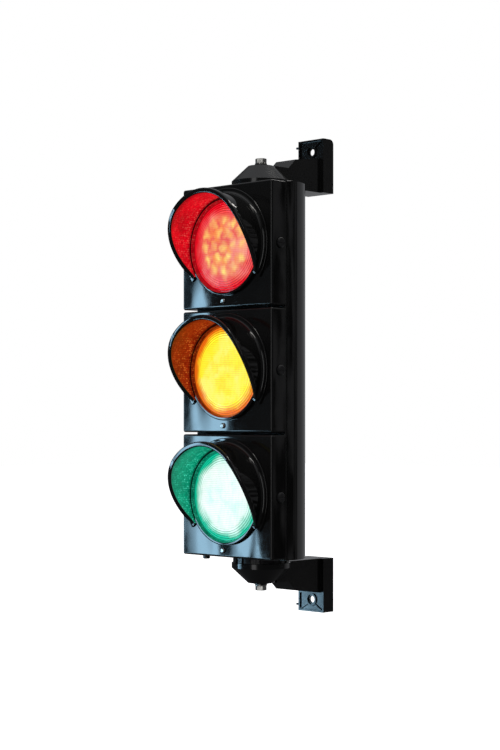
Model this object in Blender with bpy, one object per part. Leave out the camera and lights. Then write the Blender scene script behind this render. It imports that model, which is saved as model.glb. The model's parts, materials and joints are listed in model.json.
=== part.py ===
"""Three-aspect LED traffic signal head, hung between two wall brackets.

One long rear case carries three hinged doors, one for each colour. Every door holds a round lens in a
raised ring, with a cutaway visor round it. The case turns about two vertical bolts, and each bolt goes
through the conical hub of a bracket that reaches back to the wall.

Sizes are in millimetres in the head's own frame: X to the right, Y back from the front of the doors,
Z up from the middle of the case. finish_mesh() turns them into metres. The root empty then puts the
world's origin on the upper bracket's wall face.
"""
import math

import bmesh
import bpy
from mathutils import Matrix, Vector

for old in list(bpy.data.objects):
    bpy.data.objects.remove(old, do_unlink=True)

MM = 0.001
GAP = 0.3                       # between pieces that touch
COLOURS = ("red", "amber", "green")

# --- driving sizes -----------------------------------------------------------------------------
PITCH = 120.0                   # from one lens axis to the next
WIDTH = 120.0                   # case and doors
HALF = WIDTH / 2
DOOR_GAP = 2.0                  # open slit between neighbouring doors
CASE_HALF = 1.5 * PITCH         # half the case's height
DOOR_HALF = (PITCH - DOOR_GAP) / 2
DOOR_DEPTH = 19.2
DOOR_FRONT = 3.0                # thickness of the door's face
DOOR_WALL = 2.5
DOOR_ROUND = 2.0
CASE_FRONT = 21.5
CASE_BACK = 74.0
CASE_WALL = 3.0
CASE_ROUND = 44.0               # radius of the rear corners
LENS_R = 44.0
BORE_R = 44.8
RING_R = 47.5                   # outside of the raised ring round the lens
RING_HEIGHT = 3.4
VISOR_IN = 47.9
VISOR_OUT = 50.4
VISOR_LIP = 52.9                # outside of the bead along the mouth
VISOR_FLANGE = 55.8
VISOR_ROOT = 4.2                # the flange's fillet ends here
VISOR_LONG = 35.0
VISOR_HALF_TURN = 125.0         # degrees each way from the top
PIVOT_Y = 48.6
PIVOT_BOLT_R = 3.0
TOP_FACE = 181.8                # bracket faces that look at the case
BOTTOM_FACE = 186.5
HUB_R = 29.0
HUB_FLAT_R = 13.0
HUB_HIGH = 20.0
ARM_HALF = 13.0
ARM_NOSE_Y = PIVOT_Y + 26.8
PLATE_Y = PIVOT_Y + 73.4
PLATE_DEEP = 15.3
PLATE_HALF = 17.0
PLATE_HIGH = 54.6
WALL_Y = PLATE_Y + PLATE_DEEP
PLATE_RIM = 1.8                 # walls round the plate's hollow back
PLATE_FACE = 4.0                # from the plate's front to its hollow
PLATE_DISH = 1.5                # sunk part of the plate's front
PLATE_HOLLOW_Z = 36.0           # the arm is solid below it
WALL_HOLE_Z = 42.3              # above the bracket's inner face
WALL_HOLE_R = 3.5
PEG_Z = 48.6
MOUNT_Z = 200.0                 # height of the world's origin in the head's frame
HINGE_X = -HALF - 4.0
HINGE_Y = (DOOR_DEPTH + CASE_FRONT) / 2
KNUCKLE_R = 3.6
HINGE_PIN_R = 1.7
LATCH_Y = 12.0
LATCH_REACH = 14.0
CHASSIS_Y = 33.5
CHASSIS_THICK = 2.0
BOARD_Y = 27.0
BOARD_THICK = 1.6
BOARD_R = 47.0
BOARD_FIX_X = 40.0
LED_RINGS = ((1, 0.0), (6, 15.0), (12, 30.0))
CONNECTOR_Z = -20.0
GLAND_Z = -100.0
DRAIN = (-53.5, 26.5)
LENS_SCREW = (-4.0, -52.5)
VISOR_PIN_R = 53.0
VISOR_PIN_TURN = 50.0
ROUND = 28                      # sides of a large circle
SMALL = 12                      # sides of a small one

UPRIGHT = Matrix.Identity(4)
TO_BACK = Matrix.Rotation(-math.pi / 2, 4, "X")
TO_RIGHT = Matrix.Rotation(math.pi / 2, 4, "Y")

# --- finishes: colour, roughness, metallic ----------------------------------------------------------
BLACK_GLOSS = ((0.012, 0.012, 0.014), 0.16, 0.0)
BLACK_SATIN = ((0.02, 0.02, 0.022), 0.45, 0.0)
RUBBER = ((0.015, 0.015, 0.015), 0.8, 0.0)
ZINC = ((0.62, 0.62, 0.6), 0.3, 1.0)
BOARD_GREEN = ((0.02, 0.16, 0.06), 0.5, 0.0)
GREY_PLASTIC = ((0.35, 0.36, 0.37), 0.5, 0.0)
LENS_FINISH = {"red": ((0.85, 0.02, 0.02), 0.08, 0.0),
               "amber": ((0.95, 0.5, 0.02), 0.08, 0.0),
               "green": ((0.02, 0.75, 0.5), 0.08, 0.0)}
LEAD_FINISH = {"red": ((0.6, 0.03, 0.03), 0.5, 0.0),
               "amber": ((0.7, 0.4, 0.03), 0.5, 0.0),
               "green": ((0.03, 0.4, 0.12), 0.5, 0.0)}


# --- shapes ----------------------------------------------------------------------------------------
def add_box(bm, low, high):
    """A box between two corners; returns its vertices."""
    verts = bmesh.ops.create_cube(bm, size=1.0)["verts"]
    low, high = Vector(low), Vector(high)
    for vert in verts:
        vert.co = Vector([low[i] + (vert.co[i] + 0.5) * (high[i] - low[i]) for i in range(3)])
    return verts


def add_prism(bm, outline, place, low, high):
    """A closed outline pushed from low to high; place(u, v, w) gives the point for outline u, v."""
    rings = [[bm.verts.new(place(u, v, w)) for u, v in outline] for w in (low, high)]
    count = len(outline)
    bm.faces.new(rings[0])
    bm.faces.new(rings[1])
    for i in range(count):
        j = (i + 1) % count
        bm.faces.new((rings[0][i], rings[0][j], rings[1][j], rings[1][i]))


def add_turned(bm, profile, centre=(0, 0, 0), turn=UPRIGHT, sides=ROUND):
    """Turn a profile of (radius, height) points about the local Z axis, as a ring or a solid."""
    solid = profile[0][0] == 0 and profile[-1][0] == 0
    frame = Matrix.Translation(centre) @ turn
    columns = []
    poles = {i: bm.verts.new(frame @ Vector((0, 0, h))) for i, (r, h) in enumerate(profile) if r == 0}
    for side in range(sides):
        angle = 2 * math.pi * (side + 0.5) / sides
        columns.append([poles[i] if r == 0 else
                        bm.verts.new(frame @ Vector((r * math.cos(angle), r * math.sin(angle), h)))
                        for i, (r, h) in enumerate(profile)])
    steps = len(profile) - 1 if solid else len(profile)
    for side in range(sides):
        here, there = columns[side], columns[(side + 1) % sides]
        for i in range(steps):
            j = (i + 1) % len(profile)
            corners = []
            for vert in (here[i], there[i], there[j], here[j]):
                if vert not in corners:
                    corners.append(vert)
            bm.faces.new(corners)


def hex_ring(flat_in, flat_out, low, high):
    """Profile of a six-sided ring, from the distances to its flats; it is turned with six sides."""
    corner = 1 / math.cos(math.pi / 6)
    return tube(flat_in * corner, flat_out * corner, low, high)


def rod(radius, low, high):
    """Profile of a plain round bar."""
    return [(0, low), (radius, low), (radius, high), (0, high)]


def tube(inner, outer, low, high):
    """Profile of a plain ring."""
    return [(inner, low), (outer, low), (outer, high), (inner, high)]


def bevel_where(bm, test, width, segments):
    """Round every edge whose two ends both pass the test."""
    edges = [e for e in bm.edges if test(e.verts[0].co, e.verts[1].co)]
    bmesh.ops.bevel(bm, geom=edges, offset=width, segments=segments, affect="EDGES", profile=0.5)


# --- objects ---------------------------------------------------------------------------------------
def add_empty(name, at, parent=None):
    """An empty at a point of the head's frame; pieces are hung from it."""
    empty = bpy.data.objects.new(name, None)
    bpy.context.collection.objects.link(empty)
    empty["head_at"] = at
    origin = Vector(parent["head_at"]) if parent else Vector((0, 0, 0))
    empty.location = (Vector(at) - origin) * MM
    empty.parent = parent
    return empty


def finish_mesh(name, bm, parent):
    """Turn a finished bmesh into an object in metres, about its parent's origin."""
    bmesh.ops.recalc_face_normals(bm, faces=bm.faces)
    bmesh.ops.translate(bm, verts=bm.verts, vec=-Vector(parent["head_at"]))
    bmesh.ops.scale(bm, verts=bm.verts, vec=(MM, MM, MM))
    mesh = bpy.data.meshes.new(name)
    bm.to_mesh(mesh)
    bm.free()
    mesh.shade_smooth()
    mesh.set_sharp_from_angle(angle=math.radians(35))
    piece = bpy.data.objects.new(name, mesh)
    bpy.context.collection.objects.link(piece)
    piece.parent = parent
    return piece


def paint(piece, finish):
    """Give a piece its own plain material."""
    colour, roughness, metallic = finish
    material = bpy.data.materials.new(piece.name)
    material.use_nodes = True
    shader = material.node_tree.nodes["Principled BSDF"]
    shader.inputs["Base Color"].default_value = (*colour, 1.0)
    shader.inputs["Roughness"].default_value = roughness
    shader.inputs["Metallic"].default_value = metallic
    piece.data.materials.append(material)


def make(name, bm, parent, finish):
    """One named piece."""
    piece = finish_mesh(name, bm, parent)
    paint(piece, finish)
    return piece


def combine(piece, bm, operation):
    """Join the shapes in bm to a piece (UNION) or cut them out of it (DIFFERENCE)."""
    step = len(piece.modifiers) + 1
    tool = finish_mesh(f"{piece.name}_tool_{step}", bm, piece.parent)
    tool.hide_render = True
    tool.display_type = "WIRE"
    change = piece.modifiers.new(f"{operation.lower()}_{step}", "BOOLEAN")
    change.operation = operation
    change.solver = "EXACT"
    change.use_self = True
    change.object = tool


# --- wall brackets, bolts and washers: the fixed body --------------------------------------------------
def make_bracket(name, side, face, parent):
    """Bracket above (side +1) or below (side -1) the case; face is its distance from the middle."""
    def level(height):
        return side * (face + height)

    def span(x0, x1, y0, y1, h0, h1):
        z0, z1 = sorted((level(h0), level(h1)))
        return (x0, y0, z0), (x1, y1, z1)

    plate = bmesh.new()
    add_box(plate, *span(-PLATE_HALF, PLATE_HALF, PLATE_Y, WALL_Y, 0, PLATE_HIGH))
    if side > 0:
        bevel_where(plate, lambda a, b: min(a.y, b.y) > WALL_Y - 1 and abs(a.z - b.z) < 1
                    and abs(a.z) > face + 1, 5.0, 3)
    bracket = make(name, plate, parent, BLACK_SATIN)

    inner, top = PLATE_HALF - PLATE_RIM, PLATE_HIGH - PLATE_RIM
    hollow = bmesh.new()
    front, back = PLATE_Y + PLATE_FACE, WALL_Y + 1
    side_view = [(front, PLATE_HOLLOW_Z), (back, PLATE_HOLLOW_Z), (back, top - 4.2), (WALL_Y - 4.5, top),
                 (front, top)]
    add_prism(hollow, side_view, lambda u, v, w: (w, u, level(v)), -inner, inner)
    add_box(hollow, *span(-inner, inner, PLATE_Y - 1, PLATE_Y + PLATE_DISH, PLATE_HOLLOW_Z, top))
    combine(bracket, hollow, "DIFFERENCE")

    added = bmesh.new()
    boss_back = PLATE_Y + PLATE_DISH + 1
    add_turned(added, tube(5.0, 6.8, PLATE_Y, boss_back), (0, 0, level(WALL_HOLE_Z)), TO_BACK, 16)
    for way in (-1, 1):
        foot_x, end_x, half = way * 4.3, way * (inner + PLATE_RIM / 2), 0.8
        outline = [(foot_x - half, WALL_HOLE_Z + 4.3), (foot_x + half, WALL_HOLE_Z + 4.3),
                   (end_x + half / 2, top + PLATE_RIM / 2), (end_x - half, top + PLATE_RIM / 2)]
        add_prism(added, outline, lambda u, v, w: (u, w, level(v)), PLATE_Y + 0.2, boss_back)
    add_turned(added, rod(1.1, -PLATE_HALF - 4.5, -PLATE_HALF + 1.0), (0, PLATE_Y + 2.5, level(PEG_Z)),
               TO_RIGHT, 8)
    arm = [(PIVOT_Y + 9, 0), (PLATE_Y + 1, 0), (PLATE_Y + 1, 34.8), (ARM_NOSE_Y + 9, 29.5),
           (ARM_NOSE_Y - 1, HUB_HIGH), (PIVOT_Y + 9, HUB_HIGH)]
    add_prism(added, arm, lambda u, v, w: (w, u, level(v)), -ARM_HALF, ARM_HALF)
    flip = UPRIGHT if side > 0 else Matrix.Rotation(math.pi, 4, "X")
    hub = [(0, 0), (HUB_R, 0), (HUB_R, 5.0), (HUB_FLAT_R, HUB_HIGH), (6.5, HUB_HIGH),
           (6.5, HUB_HIGH + 1.5), (0, HUB_HIGH + 1.5)]
    add_turned(added, hub, (0, PIVOT_Y, level(0)), flip)
    combine(bracket, added, "UNION")

    holes = bmesh.new()
    add_turned(holes, rod(WALL_HOLE_R, PLATE_Y - 2, WALL_Y + 2), (0, 0, level(WALL_HOLE_Z)), TO_BACK, 16)
    add_turned(holes, rod(PIVOT_BOLT_R + GAP, -2, HUB_HIGH + 4), (0, PIVOT_Y, level(0)), flip, 16)
    combine(bracket, holes, "DIFFERENCE")

    washer = bmesh.new()
    seat = HUB_HIGH + 1.5 + GAP
    add_turned(washer, tube(PIVOT_BOLT_R + GAP, 6.0, seat, seat + 1.2), (0, PIVOT_Y, level(0)), flip, 16)
    make(name.replace("bracket", "washer"), washer, parent, ZINC)

    under_head = seat + 1.2 + GAP
    head = bmesh.new()
    add_turned(head, [(0, 0), (5.77, 0), (5.77, 3.7), (5.2, 4.2), (0, 4.2)],
               (0, PIVOT_Y, level(under_head)), flip, 6)
    bolt = make(name.replace("bracket", "pivot_bolt"), head, parent, ZINC)
    shank = bmesh.new()
    add_turned(shank, rod(PIVOT_BOLT_R, CASE_HALF - 12.0 - face, under_head + 1.0),
               (0, PIVOT_Y, level(0)), flip, 16)
    combine(bolt, shank, "UNION")


# --- rear case and what is fixed to it ------------------------------------------------------------------
def case_outline(inset, front):
    """Plan of the case: straight sides, large round rear corners and a flat back."""
    centre_x, centre_y = HALF - CASE_ROUND, CASE_BACK - CASE_ROUND
    radius = CASE_ROUND - inset
    steps = 7
    right = [(centre_x + radius * math.cos(a), centre_y + radius * math.sin(a))
             for a in (math.pi / 2 * i / steps for i in range(steps + 1))]
    left = [(-x, y) for x, y in reversed(right)]
    return [(HALF - inset, front)] + right + left + [(inset - HALF, front)]


def level_point(u, v, w):
    """Outline in plan, pushed upwards."""
    return (u, v, w)


def section_height(index):
    """Height of a section's lens axis; 0 is the top section."""
    return PITCH * (1 - index)


def make_case(parent):
    """The rear case, with its ribs, knuckles, latch hooks and bosses."""
    shell = bmesh.new()
    add_prism(shell, case_outline(0, CASE_FRONT), level_point, -CASE_HALF, CASE_HALF)
    bevel_where(shell, lambda a, b: abs(a.z - b.z) < 1 and max(a.y, b.y) > CASE_FRONT + 1, 2.0, 2)
    case = make("rear_case", shell, parent, BLACK_GLOSS)

    hollow = bmesh.new()
    add_prism(hollow, case_outline(CASE_WALL, CASE_FRONT - 4), level_point,
              CASE_WALL - CASE_HALF, CASE_HALF - CASE_WALL)
    combine(case, hollow, "DIFFERENCE")

    added = bmesh.new()
    for middle in (-PITCH / 2, PITCH / 2):
        add_box(added, (-HALF + 1.5, CASE_FRONT, middle - 2.5), (HALF - 1.5, CHASSIS_Y - 1, middle + 2.5))
        add_turned(added, rod(4.0, CHASSIS_Y + CHASSIS_THICK + GAP, CASE_BACK - 2), (0, 0, middle),
                   TO_BACK, SMALL)
    for side in (-1, 1):
        add_turned(added, rod(9.0, CASE_HALF - 10, CASE_HALF - 1.5), (0, PIVOT_Y, 0),
                   UPRIGHT if side > 0 else Matrix.Rotation(math.pi, 4, "X"), 16)
    for index in range(3):
        middle = section_height(index)
        for side in (-1, 1):
            low, high = sorted((middle + side * 18.0, middle + side * 29.4))
            add_turned(added, rod(KNUCKLE_R, low, high), (HINGE_X, HINGE_Y, 0), UPRIGHT, SMALL)
            add_box(added, (HINGE_X - 1.5, CASE_FRONT + 0.7, low + 0.2),
                    (HINGE_X + 6, CASE_FRONT + 3.2, high - 0.2))
        hook_x = (HALF - 6.6, HALF - 3.6)
        hook_z = (middle + LATCH_REACH + 1.5, middle + LATCH_REACH + 4.0)
        side_view = [(6.0, middle + 9.0), (6.0, hook_z[1]), (28.0, hook_z[1]), (28.0, hook_z[0]),
                     (8.7, hook_z[0]), (8.7, middle + 9.0)]
        add_prism(added, side_view, lambda u, v, w: (w, u, v), *hook_x)
        add_box(added, (hook_x[0] + 0.4, CASE_FRONT + 1.2, hook_z[0] + 0.2),
                (HALF - 1.5, CASE_FRONT + 6.2, hook_z[1] - 0.2))
    combine(case, added, "UNION")

    holes = bmesh.new()
    add_turned(holes, rod(PIVOT_BOLT_R + 0.5, -CASE_HALF - 5, CASE_HALF + 5), (0, PIVOT_Y, 0), UPRIGHT, 16)
    add_turned(holes, rod(HINGE_PIN_R + GAP, -CASE_HALF, CASE_HALF), (HINGE_X, HINGE_Y, 0), UPRIGHT, 8)
    add_turned(holes, rod(8.0, CASE_BACK - 8, CASE_BACK + 4), (0, 0, GLAND_Z), TO_BACK, 16)
    add_turned(holes, rod(2.3, -CASE_HALF - 4, -CASE_HALF + 6), (*DRAIN, 0), UPRIGHT, SMALL)
    for middle in (-PITCH / 2, PITCH / 2):
        add_turned(holes, rod(1.8, CHASSIS_Y, CHASSIS_Y + 14), (0, 0, middle), TO_BACK, SMALL)
    for side in (-1, 1):
        add_turned(holes, rod(6.2, CASE_HALF - 12, CASE_HALF - 3.2), (0, PIVOT_Y, 0),
                   UPRIGHT if side > 0 else Matrix.Rotation(math.pi, 4, "X"), 6)
    combine(case, holes, "DIFFERENCE")


def make_pivot_rings(parent):
    """Plain ring above the case, toothed ring below it, and the two nuts inside."""
    ring = bmesh.new()
    add_turned(ring, tube(8.0, 26.5, CASE_HALF + GAP, TOP_FACE - GAP), (0, PIVOT_Y, 0))
    make("upper_pivot_ring", ring, parent, RUBBER)

    teeth = 18
    outline = []
    for i in range(teeth):
        for share, radius in ((0.0, 27.5), (0.5, 27.5), (0.55, 26.0), (0.95, 26.0)):
            angle = 2 * math.pi * (i + share) / teeth
            outline.append((radius * math.cos(angle), PIVOT_Y + radius * math.sin(angle)))
    disc = bmesh.new()
    add_prism(disc, outline, level_point, -BOTTOM_FACE + GAP, -CASE_HALF - GAP)
    toothed = make("lower_toothed_ring", disc, parent, BLACK_SATIN)
    bore = bmesh.new()
    add_turned(bore, rod(10.0, -BOTTOM_FACE - 2, -CASE_HALF + 2), (0, PIVOT_Y, 0), UPRIGHT, 16)
    combine(toothed, bore, "DIFFERENCE")

    for word, side in (("upper", 1), ("lower", -1)):
        nut = bmesh.new()
        add_turned(nut, hex_ring(PIVOT_BOLT_R + GAP, 5.0, CASE_HALF - 8.6, CASE_HALF - 3.6), (0, PIVOT_Y, 0),
                   UPRIGHT if side > 0 else Matrix.Rotation(math.pi, 4, "X"), 6)
        make(f"{word}_pivot_nut", nut, parent, ZINC)


def make_seal(parent):
    """One moulded gasket with three openings, on the front edge of the case."""
    frame = bmesh.new()
    add_box(frame, (-HALF + 0.6, DOOR_DEPTH + GAP, -CASE_HALF + 0.6),
            (HALF - 0.6, CASE_FRONT - GAP, CASE_HALF - 0.6))
    seal = make("case_seal", frame, parent, RUBBER)
    openings = bmesh.new()
    for index in range(3):
        middle = section_height(index)
        add_box(openings, (-HALF + 2.6, DOOR_DEPTH - 2, middle - 57),
                (HALF - 2.6, CASE_FRONT + 2, middle + 57))
    combine(seal, openings, "DIFFERENCE")


def make_chassis(parent):
    """Upright plate inside the case that carries the light boards."""
    back = CHASSIS_Y + CHASSIS_THICK
    plate = bmesh.new()
    add_box(plate, (-46, CHASSIS_Y, -166), (46, back, 166))
    chassis = make("chassis_plate", plate, parent, GREY_PLASTIC)
    added = bmesh.new()
    holes = bmesh.new()
    for index in range(3):
        middle = section_height(index)
        for way in (-1, 1):
            add_turned(added, rod(3.2, BOARD_Y + BOARD_THICK + GAP, CHASSIS_Y + 1),
                       (way * BOARD_FIX_X, 0, middle), TO_BACK, SMALL)
        add_turned(added, rod(1.2, BOARD_Y - 1.5, CHASSIS_Y), (-BOARD_FIX_X, 0, middle), TO_BACK, 8)
        add_turned(holes, rod(1.5, BOARD_Y - 2, back + 2), (BOARD_FIX_X, 0, middle), TO_BACK, 8)
        add_box(holes, (-8, CHASSIS_Y - 2, middle + CONNECTOR_Z - 5),
                (8, back + 2, middle + CONNECTOR_Z + 5))
    for middle in (-PITCH / 2, PITCH / 2):
        add_turned(holes, rod(1.9, CHASSIS_Y - 2, back + 2), (0, 0, middle), TO_BACK, 8)
    combine(chassis, added, "UNION")
    combine(chassis, holes, "DIFFERENCE")

    for word, middle in (("upper", PITCH / 2), ("lower", -PITCH / 2)):
        make_screw(f"chassis_screw_{word}", (0, CHASSIS_Y - GAP, middle), 3.0, 0.45, 1.4, 11.0, parent)


def make_screw(name, under_head, head_r, head_high, shank_r, length, parent):
    """A round-headed screw whose shank runs back from under its head."""
    screw = bmesh.new()
    add_turned(screw, [(0, -head_high), (head_r * 0.6, -head_high), (head_r, -head_high * 0.4), (head_r, 0),
                       (shank_r, 0), (shank_r, length), (0, length)], under_head, TO_BACK, SMALL)
    make(name, screw, parent, ZINC)


def make_board(colour, middle, parent):
    """Round light board with its ring pattern of emitters and a connector on the back."""
    disc = bmesh.new()
    add_turned(disc, rod(BOARD_R, BOARD_Y, BOARD_Y + BOARD_THICK), (0, 0, middle), TO_BACK)
    board = make(f"led_board_{colour}", disc, parent, BOARD_GREEN)
    added = bmesh.new()
    for count, radius in LED_RINGS:
        for i in range(count):
            angle = 2 * math.pi * i / count
            add_turned(added, rod(2.5, BOARD_Y - 5, BOARD_Y + 0.5),
                       (radius * math.cos(angle), 0, middle + radius * math.sin(angle)), TO_BACK, 6)
    add_box(added, (-6, BOARD_Y + 1, middle + CONNECTOR_Z - 3),
            (6, CHASSIS_Y + 4.5, middle + CONNECTOR_Z + 3))
    combine(board, added, "UNION")
    holes = bmesh.new()
    for way in (-1, 1):
        add_turned(holes, rod(1.5, BOARD_Y - 2, BOARD_Y + 4), (way * BOARD_FIX_X, 0, middle), TO_BACK, 8)
    combine(board, holes, "DIFFERENCE")
    make_screw(f"board_screw_{colour}", (BOARD_FIX_X, BOARD_Y - GAP, middle), 2.6, 1.6, 1.2, 7.5, parent)


def make_wiring(parent):
    """Terminal block behind the chassis, and one lead to each light board."""
    block_x, block_z = (19.0, 41.0), (-78.0, -46.0)
    front = CHASSIS_Y + CHASSIS_THICK + GAP
    body = bmesh.new()
    add_box(body, (block_x[0], front, block_z[0]), (block_x[1], front + 13, block_z[1]))
    block = make("terminal_block", body, parent, GREY_PLASTIC)
    wells = bmesh.new()
    for i in range(4):
        z = block_z[0] + 4 + 8 * i
        add_turned(wells, rod(2.2, front + 7, front + 15), (block_x[0] + 11, 0, z), TO_BACK, 6)
    combine(block, wells, "DIFFERENCE")

    plug_y = CHASSIS_Y + 4.5 + GAP + 1.0
    top, foot = block_z[1] + 2 * GAP, block_z[0] - 2 * GAP
    starts = [section_height(i) + CONNECTOR_Z for i in range(3)]
    routes = {"red": [(0, plug_y, starts[0]), (0, 45, starts[0]), (14, 46, starts[0] - 12), (25, 45, 60),
                      (25, 45, 0), (24, 42.5, -28), (24, 42, -37), (24, 42, top)],
              "amber": [(0, plug_y, starts[1]), (0, 47, starts[1]), (12, 53, starts[1]),
                        (26, 54, starts[1] - 2), (34, 49, starts[1] - 8), (35, 43, -36), (35, 42, -41),
                        (35, 42, top)],
              "green": [(0, plug_y, starts[2]), (0, 45, starts[2]), (14, 46, starts[2] + 12),
                        (28, 46, -112), (30, 43, -95), (30, 42, -86), (30, 42, foot)]}
    for colour, route in routes.items():
        make_lead(f"lead_{colour}", route, LEAD_FINISH[colour], parent)


def make_lead(name, route, finish, parent):
    """A round cable along a smooth curve through the route's points."""
    points = [Vector(p) for p in route]
    ends = [points[0] * 2 - points[1]] + points + [points[-1] * 2 - points[-2]]
    smooth = []
    for i in range(1, len(ends) - 2):
        a, b, c, d = ends[i - 1:i + 3]
        for t in (0.0, 0.5):
            smooth.append(0.5 * (2 * b + (c - a) * t + (2 * a - 5 * b + 4 * c - d) * t ** 2
                                 + (3 * b - a - 3 * c + d) * t ** 3))
    smooth.append(points[-1])
    curve = bpy.data.curves.new(name, "CURVE")
    curve.dimensions = "3D"
    curve.bevel_depth = 1.4 * MM
    curve.bevel_resolution = 2
    curve.use_fill_caps = True
    spline = curve.splines.new("POLY")
    spline.points.add(len(smooth) - 1)
    origin = Vector(parent["head_at"])
    for target, point in zip(spline.points, smooth):
        target.co = (*((point - origin) * MM), 1.0)
    lead = bpy.data.objects.new(name, curve)
    bpy.context.collection.objects.link(lead)
    lead.parent = parent
    paint(lead, finish)


def make_gland(parent):
    """Cable gland through the back of the case, its nut, and the drain plug underneath."""
    body = bmesh.new()
    add_turned(body, [(4.0, CASE_BACK - 13), (7.5, CASE_BACK - 13), (7.5, CASE_BACK + GAP),
                      (10.5, CASE_BACK + GAP), (10.5, CASE_BACK + 6), (9.5, CASE_BACK + 7),
                      (9.5, CASE_BACK + 16), (6.5, CASE_BACK + 20), (4.0, CASE_BACK + 20)],
               (0, 0, GLAND_Z), TO_BACK, 16)
    make("cable_gland", body, parent, BLACK_SATIN)
    nut = bmesh.new()
    inner = CASE_BACK - CASE_WALL - GAP
    add_turned(nut, hex_ring(7.9, 11.0, inner - 4.5, inner), (0, 0, GLAND_Z), TO_BACK, 6)
    make("gland_nut", nut, parent, BLACK_SATIN)
    plug = bmesh.new()
    add_turned(plug, [(0, -CASE_HALF - 4.7), (2.8, -CASE_HALF - 4.7), (3.5, -CASE_HALF - 4.0),
                      (3.5, -CASE_HALF - GAP), (2.0, -CASE_HALF - GAP), (2.0, -CASE_HALF + 5.5),
                      (0, -CASE_HALF + 5.5)], (*DRAIN, 0), UPRIGHT, SMALL)
    make("drain_plug", plug, parent, BLACK_SATIN)


def make_hinge_pin(colour, middle, parent):
    """Pin through the knuckles of one door, held by the case."""
    pin = bmesh.new()
    add_turned(pin, [(0, -43.0), (HINGE_PIN_R, -43.0), (HINGE_PIN_R, 42.4), (3.0, 42.4), (3.0, 43.6),
                     (0, 43.6)], (HINGE_X, HINGE_Y, middle), UPRIGHT, 8)
    make(f"hinge_pin_{colour}", pin, parent, ZINC)


# --- doors --------------------------------------------------------------------------------------------
def make_door(colour, middle, parent):
    """Cap-like door: rounded front, skirt, raised ring and two hinge knuckles."""
    box = bmesh.new()
    add_box(box, (-HALF, 0, middle - DOOR_HALF), (HALF, DOOR_DEPTH, middle + DOOR_HALF))
    bevel_where(box, lambda a, b: min(a.y, b.y) < 1, DOOR_ROUND, 3)
    door = make(f"door_{colour}", box, parent, BLACK_GLOSS)

    inside = bmesh.new()
    add_box(inside, (DOOR_WALL - HALF, DOOR_FRONT, middle - DOOR_HALF + DOOR_WALL),
            (HALF - DOOR_WALL, DOOR_DEPTH + 3, middle + DOOR_HALF - DOOR_WALL))
    combine(door, inside, "DIFFERENCE")

    added = bmesh.new()
    add_turned(added, [(BORE_R - 1, -RING_HEIGHT), (RING_R - 0.9, -RING_HEIGHT), (RING_R, 0.9 - RING_HEIGHT),
                       (RING_R, 1.0), (BORE_R - 1, 1.0)], (0, 0, middle), TO_BACK)
    for side in (-1, 1):
        low, high = sorted((middle + side * 30.0, middle + side * 42.0))
        add_turned(added, rod(KNUCKLE_R, low, high), (HINGE_X, HINGE_Y, 0), UPRIGHT, SMALL)
        add_box(added, (HINGE_X - 1.5, DOOR_DEPTH - 3.7, low + 0.2),
                (HINGE_X + 5.2, DOOR_DEPTH - 0.8, high - 0.2))
    combine(door, added, "UNION")

    holes = bmesh.new()
    add_turned(holes, rod(BORE_R, -8, 8), (0, 0, middle), TO_BACK)
    add_turned(holes, rod(HINGE_PIN_R + GAP, middle - 45, middle + 45), (HINGE_X, HINGE_Y, 0), UPRIGHT, 8)
    add_turned(holes, rod(2.8, HALF - 6, HALF + 4), (0, LATCH_Y, middle), TO_RIGHT, SMALL)
    add_turned(holes, rod(1.6, -2, 6), (LENS_SCREW[0], 0, middle + LENS_SCREW[1]), TO_BACK, 8)
    for x, z in visor_pins():
        add_turned(holes, rod(1.8, -2, 6), (x, 0, middle + z), TO_BACK, 8)
    combine(door, holes, "DIFFERENCE")


def visor_pins():
    """Places of the two pins that hold a visor, from the lens axis."""
    turn = math.radians(VISOR_PIN_TURN)
    return [(way * VISOR_PIN_R * math.sin(turn), VISOR_PIN_R * math.cos(turn)) for way in (-1, 1)]


def make_lens(colour, middle, parent):
    """Domed lens with a flange behind the door's face, its gasket, retainer ring and screw."""
    rise, thick = 4.5, 2.6
    sphere = (LENS_R ** 2 + rise ** 2) / (2 * rise)

    def dome(radius):
        return sphere - rise - math.sqrt(sphere ** 2 - radius ** 2)

    steps = 4
    outer = [(LENS_R * i / steps, dome(LENS_R * i / steps)) for i in range(steps + 1)]
    inner = [(41.0 * i / steps, dome(41.0 * i / steps) + thick) for i in range(steps, -1, -1)]
    flange_y = DOOR_FRONT + 1.6
    flange = [(LENS_R, flange_y), (49.0, flange_y), (49.0, flange_y + 2), (41.0, flange_y + 2)]
    profile = outer + flange + inner
    lens = bmesh.new()
    add_turned(lens, profile, (0, 0, middle), TO_BACK)
    make(f"lens_{colour}", lens, parent, LENS_FINISH[colour])

    gasket = bmesh.new()
    add_turned(gasket, tube(45.2, 49.0, DOOR_FRONT + GAP, flange_y - GAP), (0, 0, middle), TO_BACK)
    make(f"lens_gasket_{colour}", gasket, parent, RUBBER)

    clamp_y = flange_y + 2 + GAP
    ring = bmesh.new()
    add_turned(ring, tube(42.0, 51.5, clamp_y, clamp_y + 3), (0, 0, middle), TO_BACK)
    retainer = make(f"lens_retainer_{colour}", ring, parent, BLACK_SATIN)
    lug = bmesh.new()
    x, z = LENS_SCREW[0], middle + LENS_SCREW[1]
    add_box(lug, (x - 4, clamp_y + 0.1, z - 3.5), (x + 4, clamp_y + 2.9, z + 5))
    combine(retainer, lug, "UNION")
    hole = bmesh.new()
    add_turned(hole, rod(1.6, clamp_y - 2, clamp_y + 5), (x, 0, z), TO_BACK, 8)
    combine(retainer, hole, "DIFFERENCE")
    make_screw(f"lens_screw_{colour}", (x, -GAP, z), 2.7, 1.6, 1.3, 12.0, parent)


def visor_length(height):
    """How far the visor reaches forward, at a height above the lens axis."""
    full, start, fall, power = VISOR_LONG, 36.0, 0.02645, 1.7
    return full if height > start else max(4.6, full - fall * (start - height) ** power)


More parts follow.
